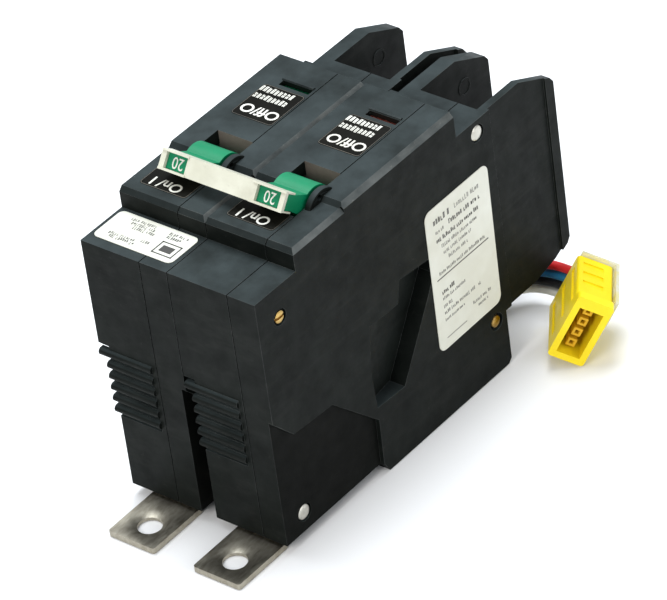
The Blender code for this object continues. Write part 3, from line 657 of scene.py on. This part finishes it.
def pocket(pole):
    """Cutter for the wedge-shaped hollow in the right side; its floor leans on a slanting plane."""
    outline = [(60.5, 41.3), (60.5, 45.9), (48.2, 47.2), (46.9, 41.4), (42.9, 41.4), (36.2, 41.9),
               (34.6, 30.1), (35.2, 19.1), (45.4, 18.5)]
    face = pole + FACE
    floor = [(face - 0.8 - 0.18 * (0.832 * y - 0.552 * z - 7.0), y, z) for y, z in outline]
    return solid("pocket", [floor, [(face + PAST, y, z) for y, z in outline]])


def edge_chamfer(pole, y, z, size):
    face = pole + FACE
    return prism("chamfer", "Y", [(face - size, z + 2), (face + PAST, z + 2), (face + PAST, z - size - 1),
                                  (face, z - size), (face - size, z)], *y)


def make_lobe(side, pole, inner):
    """Half-disc bearing beside the toggle: rounded edge, a groove inside its rim and a small blind hole."""
    top, low, middle = pole + LOBE_U, inner + 0.2, 1.5
    profile = [(middle, low), (BARREL_R - 0.1, low), (BARREL_R, low + 0.2), (BARREL_R, top - 0.45),
               (BARREL_R - 0.12, top - 0.12), (BARREL_R - 0.45, top), (BARREL_R - 0.75, top),
               (BARREL_R - 0.85, top - 0.18), (BARREL_R - 1.05, top - 0.18), (BARREL_R - 1.15, top - 0.05),
               (middle, top - 0.05)]
    item = solid(f"{side}_lobe", [[(x, *p) for p in circle(AXLE, r, 96)] for r, x in profile])
    cut(item, rod("lobe hole", "X", (32.2, 78.3), 0.75, top - 1.4, top + PAST, 32))
    dress(item, CASE, "case", width=0, angle=40)


def make_cover(side, pole):
    seam, inner, right = pole + SEAM, pole + SEAM + JOINT_GAP, pole + FACE
    cover = prism(f"{side}_cover_shell", "X", case_outline(), inner, right)
    add(cover, barrier(pole + COVER_BARRIER_U, right))
    cut(cover,
        prism("cavity", "X", COVER_CAVITY, seam - PAST, pole + COVER_WALL_U),
        inset(0, right - RIGHT_INSET, right + PAST),
        block("barrier panel", (right - 0.6, right + PAST), (86.5, 107.6), (10, ABOVE)),
        pocket(pole),
        edge_chamfer(pole, (10, RAISED_Y + 0.4), DECK_Z, 1.1),
        edge_chamfer(pole, (RAISED_Y + 0.4, STRIP_Y + 1), RAISED_Z, 1.2),
        block("channel", (seam - PAST, pole + 22.35), CHANNEL_Y, CHANNEL_Z),
        *fastener_holes(seam - PAST, right + PAST),
        *counterbores(side, left=False))
    make_lobe(side, pole, inner)
    dress(cover, CASE, "case", [f"{side}_case_cover"], edge=EDGE_WEAR_AND_HIGHLIGHT)
    cover.data.materials.append(SHADED_RECESS)
    # Chamfers along the top that face up and to the right get the lighter edge plastic: a painted highlight.
    paint_faces(cover, 1, lambda c, n: 0.3 < n.x < 0.95 and n.z > 0.3 and c.z > DECK_Z - 1.5)
    # The inset's faces below z 40 take the darker copy: painted shade.
    paint_faces(cover, 2, lambda c, n: n.x > 0.9 and abs(c.x - right + RIGHT_INSET) < 0.1 and c.z < 40)


for pole_side, pole_x in POLES.items():
    make_base(pole_side, pole_x)
    make_cover(pole_side, pole_x)


# ---- Handles and tie bar -------------------------------------------------------------------------------
def along_lever(distance, offset):
    c, s = math.cos(LEVER), math.sin(LEVER)
    return (AXLE[0] + distance * c + offset * s, AXLE[1] + distance * s - offset * c)


def lettering(name, text, size, centre, right, up, finish, body, weight=0.012, squeeze=1.0):
    """Generic marks as raised print; centre in local millimetres, right and up are directions."""
    data = bpy.data.curves.new(name, "FONT")
    data.body, data.size, data.align_x, data.align_y = text, size * MM, "CENTER", "CENTER"
    data.extrude = 0.05 * MM
    data.offset = weight * size * MM
    data.resolution_u = 4
    item = bpy.data.objects.new(name, data)
    bpy.context.scene.collection.objects.link(item)
    right, up = Vector(right).normalized(), Vector(up).normalized()
    turn = Matrix((right, up, right.cross(up))).transposed().to_4x4() @ Matrix.Diagonal((squeeze, 1, 1, 1))
    world = Matrix.Translation(place(*centre)) @ turn
    mesh = bpy.data.meshes.new_from_object(item.evaluated_get(bpy.context.evaluated_depsgraph_get()))
    bpy.data.objects.remove(item)
    mesh.transform(world)
    flat = bpy.data.objects.new(name, mesh)
    bpy.context.scene.collection.objects.link(flat)
    mesh.materials.clear()
    mesh.materials.append(finish)
    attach(flat, body)
    return flat


def make_handle(side, pole):
    low, high = pole + HANDLE_U[0], pole + HANDLE_U[1]
    item = rod(f"{side}_toggle", "X", AXLE, BARREL_R, low, high, 72)
    lever = [along_lever(*p) for p in ((0, 2.9), (4.5, 2.5), (9, 1.9), (12.1, 1.9), (12.1, -1.9),
                                       (9, -1.9), (5.5, -2.4), (0, -4.2))]
    crank = [along_lever(*p) for p in ((-9.6, 1.2), (-4, 1.6), (-4, -1.6), (-9.6, -1.2))]
    add(item, prism("lever", "X", lever, low, high),
        prism("crank", "X", crank, pole + CRANK_U[0], pole + CRANK_U[1]))
    cut(item, rod("bore", "X", AXLE, AXLE_R, low - PAST, high + PAST, 24))
    dress(item, GREEN, "handles", [f"{side}_handle"], width=0.25, segments=3, angle=25)
    centre = (sum(TIE_WINDOWS[0 if side == "left" else 1]) / 2, *along_lever(12.15, 0))
    digits = lettering(f"{side}_rating_digits", "20", 3.9, centre, (-1, 0, 0), (0, -0.6, -0.8), WHITE_INK,
                       "handles", 0.002, 0.86)


def make_tie_bar():
    """Channel over both levers' tips, with a window for each tip and a rail along the windows' long sides."""
    profile = [(13.2, 2.4), (13.2, -2.4), (9.6, -2.4), (9.6, -2.0), (12.2, -2.0), (12.2, 2.0), (9.6, 2.0),
               (9.6, 2.4)]
    item = prism("tie_bar_channel", "X", [along_lever(*p) for p in profile], *TIE_BAR_X)
    window = [along_lever(*p) for p in ((11.9, 1.95), (14, 1.95), (14, -1.95), (11.9, -1.95))]
    rails = [[along_lever(*p) for p in ((13.0, s * 1.97), (13.5, s * 1.97), (13.5, s * 2.45),
                                        (13.0, s * 2.45))] for s in (1, -1)]
    for start, end in TIE_WINDOWS:
        cut(item, prism("window", "X", window, start, end))
        for outline in rails:
            add(item, prism("rail", "X", outline, start - 1.3, end + (0.4 if start < 0 else 1.5)))
    dress(item, CREAM, "handles", ["tie_bar"], width=0.15)


for pole_side, pole_x in POLES.items():
    make_handle(pole_side, pole_x)
make_tie_bar()


# ---- Line straps ---------------------------------------------------------------------------------------
def make_strap(side, pole):
    t, low, high = TAB_T, pole + TAB_U[0], pole + TAB_U[1]
    outline = [(TAB_FRONT, 0), *arc((1.35, t + 0.1), t + 0.1, 270, 360, 8), (2.95, 12.2), (20.5, 12.2),
               (20.5, 13.7), (2.4, 13.7), (1.45, 12.9), *arc((0.95, 2.0), 0.5, 0, -90, 4), (TAB_FRONT, t)]
    item = prism(f"{side}_strap", "X", outline, low, high)
    for x, sign in ((low, 1), (high, -1)):
        front = TAB_FRONT - 1.5
        notch = [(x - sign, front), (x + sign * TAB_CORNER, front), *[
            (x + sign * (TAB_CORNER - TAB_CORNER * math.sin(a)),
             TAB_FRONT + TAB_CORNER - TAB_CORNER * math.cos(a))
            for a in (0, 0.39, 0.79, 1.18, 1.57)], (x - sign, TAB_FRONT + TAB_CORNER)]
        cut(item, prism("corner", "Z", notch, -PAST, 3))
    add(item, rod("contact", "Z", (pole + 12.8, 16.5), 2.6, 13.4, 15.2, 32))
    bolt = (pole + BOLT_U, BOLT_Y)
    cut(item,
        rod("bolt hole", "Z", bolt, BOLT_R, -PAST, 3, 64),
        cone("dish", "Z", bolt, (2.9, 5.3), 0.78, 1.58, 64))
    dress(item, TIN, "case", [f"{side}_line_terminal"], width=0.18)


for pole_side, pole_x in POLES.items():
    make_strap(pole_side, pole_x)


# ---- Fasteners -----------------------------------------------------------------------------------------
def make_fastener(name, y, z, head, x_left, x_right):
    """Shank with a flat dome at each end; the screw's right head has a slot."""
    head *= HEAD_SHARE.get(name, 1.0)
    item = rod(name + "_head", "X", (y, z), SHANK_R, x_left + 0.2, x_right - 0.2, 24)
    dome = [(head, 0.75), (head, 0.35), (head * 0.86, 0.12), (head * 0.55, 0.02), (head * 0.2, 0.0)]
    for x, way in ((x_left, 1), (x_right, -1)):
        rings = [[(x + way * depth, *p) for p in circle((y, z), radius, 40)] for radius, depth in dome]
        add(item, solid("dome", rings))
    if name == "case_screw":
        cut(item, block("slot", (x_right - 0.55, x_right + PAST), (y - 3, y + 3), (z - 0.32, z + 0.32)))
    finish = RIVET if name in ("rivet_line_end", "rivet_load_end_top") else BRASS
    dress(item, finish, "case", [name], width=0.08, segments=1)


for fastener_name, fastener_sizes in FASTENERS.items():
    make_fastener(fastener_name, *fastener_sizes)


# ---- Labels and marks ----------------------------------------------------------------------------------
def bars(name, boxes, finish, body):
    """Many thin bars as one mesh; each box is (x, y, z) spans in local millimetres."""
    item = join(name, [block("bar", *spans) for spans in boxes])
    item.data.materials.append(finish)
    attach(item, body)
    return item


def greek(rng, span, row, tall, plane, layer, weight=0.17, words=(3, 8), flip=False, capitals=0.45):
    """Marks that stand for small print: each letter is a few strokes; no letter is drawn.

    The row runs along the first axis of `plane`; `layer` is the span through the film's thickness,
    `words` the range of letters in a word and `capitals` the share of tall letters.
    """
    boxes, at = [], span[0]
    pace = tall * 0.62
    half = weight / 2
    while at < span[1] - pace:
        for _ in range(rng.randint(*words)):
            if at > span[1] - pace:
                break
            low, high = -0.5, 0.5 if rng.random() < capitals else 0.22
            if flip:
                low, high = -high, 0.5
            foot, head = row + low * tall, row + high * tall
            boxes.append(((at, at + weight), (foot, head)))
            shape = rng.random()
            if shape < 0.8:
                level = row + (low if shape < 0.3 else high if shape < 0.55 else (low + high) / 2) * tall
                boxes.append(((at, at + pace * 0.68), (level - half, level + half)))
            if shape > (0.12 if capitals == 1 else 0.35):
                end = at + pace * 0.62
                boxes.append(((end - weight, end), (foot, row + high * tall * 0.8)))
            at += pace
        at += pace * 0.7
    if plane == "XY":
        return [(a, b, layer) for a, b in boxes]
    return [(layer, a, b) for a, b in boxes]


def make_side_label():
    corner = 2.2
    outline = [*arc((81.0, 56.2), corner, 0, 90), *arc((61.4, 56.1), corner, 90, 180),
               *arc((61.2, 21.1), corner, 180, 270), *arc((80.6, 21.3), corner, 270, 360)]
    sheet = prism("side_label_film", "X", outline, FACE + FILM_LOW, FACE + FILM_TOP)
    dress(sheet, PAPER, "case", ["side_label"], width=0.05, segments=1)
    rng = random.Random(SEED)
    layer, strong, fine = (FACE + FILM_TOP, FACE + PRINT_TOP), [], []
    # Each row: height, letters' height, start and end, and the list it goes to.
    rows = [(54.4, 1.5, 62.0, 69.0, strong), (54.6, 1.3, 70.0, 80.4, fine), (51.7, 1.2, 67.4, 79.6, strong),
            (51.4, 0.9, 62.4, 66.0, fine), (49.0, 1.0, 62.4, 79.0, strong), (46.8, 0.9, 64.0, 77.6, fine),
            (44.8, 0.9, 64.4, 75.6, fine), (42.8, 0.9, 66.0, 74.0, fine), (40.0, 0.8, 62.0, 79.8, fine),
            (34.6, 1.0, 62.2, 67.0, strong), (32.8, 0.8, 62.2, 71.6, fine), (30.6, 0.8, 62.2, 66.0, fine),
            (28.8, 0.9, 62.2, 74.4, fine), (28.8, 0.8, 75.2, 76.6, fine), (26.8, 0.7, 62.2, 70.0, fine),
            (25.0, 0.9, 72.6, 79.6, fine), (23.4, 0.8, 74.4, 78.4, fine)]
    for z, tall, start, end, sink in rows:
        sink += greek(rng, (start, end), z, tall, "YZ", layer, 0.24 if sink is strong else 0.17)
    strong.append((layer, (61.0, 80.6), (38.5, 38.8)))
    fine.append((layer, (62.0, 69.6), (21.6, 21.85)))
    bars("side_label_strong_rows", strong, INK, "case")
    bars("side_label_fine_rows", fine, FADED_INK, "case")


def make_nameplate():
    """Film on the lower step: a square frame with a filled square in it, and rows of small print."""
    outline = rounded((-24.3, -1.2), (2.7, 13.5), 1.5)
    sheet = prism("nameplate_film", "Z", outline, STEP_Z + FILM_LOW, STEP_Z + FILM_TOP)
    dress(sheet, PAPER, "case", ["nameplate"], width=0.05, segments=1)
    rng = random.Random(SEED + 1)
    layer = (STEP_Z + FILM_TOP, STEP_Z + PRINT_TOP)
    x0, x1, y0, y1 = -8.2, -2.4, 4.2, 8.8
    line, gap = 0.35, 1.2
    frame_boxes = [((x0, x1), (y0, y0 + line), layer), ((x0, x1), (y1 - line, y1), layer),
                   ((x0, x0 + line), (y0, y1), layer), ((x1 - line, x1), (y0, y1), layer),
                   ((x0 + gap, x1 - gap), (y0 + gap, y1 - gap), layer)]
    rows = []
    for y, start, end in ((11.6, -8.6, -2.6), (10.4, -8.4, -4.0), (11.8, -20.0, -12.0), (10.6, -19.0, -11.6),
                          (9.4, -17.6, -11.0), (5.4, -21.4, -13.4), (4.4, -20.6, -13.0), (6.4, -12.6, -10.2)):
        rows += greek(rng, (start, end), y, 0.95, "XY", layer, 0.16, flip=True)
    bars("nameplate_frame", frame_boxes, INK, "case")
    bars("nameplate_rows", rows, FADED_INK, "case")


def make_deck_label(side, pole, kind):
    """Black film with a faint border, the generic switch mark and, when off, two rows of letter-like bars."""
    u, y, words, tall, middle = DECK_LABELS[kind]
    z = DECK_Z if kind == "on" else RAISED_Z
    x = (pole + u[0], pole + u[1])
    film = prism(f"{side}_{kind}_film", "Z", rounded(x, y, 0.9), z + 0.01, z + 0.07)
    dress(film, LABEL_BLACK, "case", width=0)
    outer, inner = (rounded((x[0] + margin, x[1] - margin), (y[0] + margin, y[1] - margin), corner)
                    for margin, corner in ((0.1, 0.85), (0.22, 0.75)))
    border = prism(f"{side}_{kind}_border", "Z", outer, z + 0.03, z + 0.1)
    cut(border, prism("inner", "Z", inner, z, z + PAST))
    dress(border, BORDER_INK, "case", width=0)
    mark = lettering(f"{side}_{kind}_mark", words, tall, (pole + middle[0], middle[1], z + 0.09), (-1, 0, 0),
                     (0, -1, 0), WHITE_INK, "case")
    if kind == "off":
        rng = random.Random(SEED + 3)
        boxes = []
        for row, start, end in ((57.7, 5.2, 16.6), (60.6, 4.9, 16.1)):
            boxes += greek(rng, (pole + start, pole + end), row, 1.75, "XY", (z + 0.05, z + 0.13), 0.27,
                           (9, 9), True, 1.0)
        bars(f"{side}_{kind}_bars", boxes, WHITE_INK, "case")


make_side_label()
make_nameplate()
for pole_side, pole_x in POLES.items():
    for label_kind in ("on", "off"):
        make_deck_label(pole_side, pole_x, label_kind)


# ---- Flags and the CAD pieces that stay as they are --------------------------------------------------------
def make_flag(side, pole):
    """Plate and post of the indicator, green on the left and red-brown on the right."""
    x, front = pole + OPERATOR_U, 52 + FLAG_SHIFT[side]
    plate = block(f"{side}_flag_plate", (x - 4.9, x + 4.9), (front, 70.8 + FLAG_SHIFT[side]), (75.3, 76.25))
    add(plate, block("post", (x - 2.2, x + 2.2), (front, 53.6 + FLAG_SHIFT[side]), (61.45, 75.7)))
    dress(plate, GREEN if side == "left" else RED_BROWN, f"{side}_remote_operator",
          [f"{side}_indicator_flag"], width=0.15)


for pole_side, pole_x in POLES.items():
    make_flag(pole_side, pole_x)

FINISHES = {
    "handle_axle": STEEL, "contact_arm": COPPER, "contact_pin": STEEL, "arc_chute": STEEL,
    "shunt_braid": COPPER, "toggle_spring": STEEL, "load_terminal": BRASS, "clamp_plate": STEEL,
    "load_screw": STEEL, "cradle": STEEL, "armature": STEEL, "magnet_yoke": STEEL, "bimetal": COPPER,
    "solenoid_frame": STEEL, "solenoid_coil": COPPER, "plunger": STEEL, "trip_bar": BROWN,
    "wire_grommet": RUBBER,
}
for node_name, cad_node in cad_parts.items():
    key = node_name.split("_", 1)[1] if node_name.startswith(("left_", "right_")) else node_name
    for material_slot in cad_node.material_slots:
        material_slot.material = FINISHES.get(key, CASE)


# ---- Stage and light -----------------------------------------------------------------------------------
def make_stage():
    size = 6.0
    corners = [(-size, -size, 0), (size, -size, 0), (size, size, 0), (-size, size, 0)]
    mesh = bpy.data.meshes.new("floor")
    mesh.from_pydata(corners, [], [(0, 1, 2, 3)])
    floor = bpy.data.objects.new("floor", mesh)
    bpy.context.scene.collection.objects.link(floor)
    floor.location.z = -0.0002                  # just under the feet, so the faces don't coincide
    finish, tree, shader = material("floor", 0.9, specular=0.1)
    tone = ramp(tree, noise(tree, 3, 2), [(0.3, (0.82, 0.82, 0.82)), (0.7, (0.86, 0.86, 0.86))])
    tree.links.new(tone, shader.inputs["Base Color"])
    mesh.materials.append(finish)


LIGHT_AIM = (0, 0, 0.04)


def make_light(name, where, energy, size, colour=(1, 1, 1)):
    """Round area light aimed at the middle of the part."""
    data = bpy.data.lights.new(name, "AREA")
    data.energy, data.color = energy, colour
    data.shape, data.size = "DISK", size
    item = bpy.data.objects.new(name, data)
    item.location = where
    aim = Vector(LIGHT_AIM) - Vector(where)
    item.rotation_euler = aim.to_track_quat("-Z", "Y").to_euler()
    bpy.context.scene.collection.objects.link(item)


def make_lights():
    world = bpy.data.worlds.new("studio")
    world.use_nodes = True
    back = world.node_tree.nodes["Background"]
    back.inputs["Color"].default_value = (0.93, 0.96, 1.0, 1)
    back.inputs["Strength"].default_value = 0.62
    bpy.context.scene.world = world
    make_light("top", (-0.25, 0.25, 1.3), 22, 0.9, (0.9, 0.95, 1.0))
    make_light("key", (0.2, -1.3, 0.9), 11, 0.7, (1.0, 0.98, 0.95))
    make_light("side", (1.4, 0.1, 0.5), 5, 0.8)


make_stage()
make_lights()
bpy.context.scene.view_settings.view_transform = "Standard"
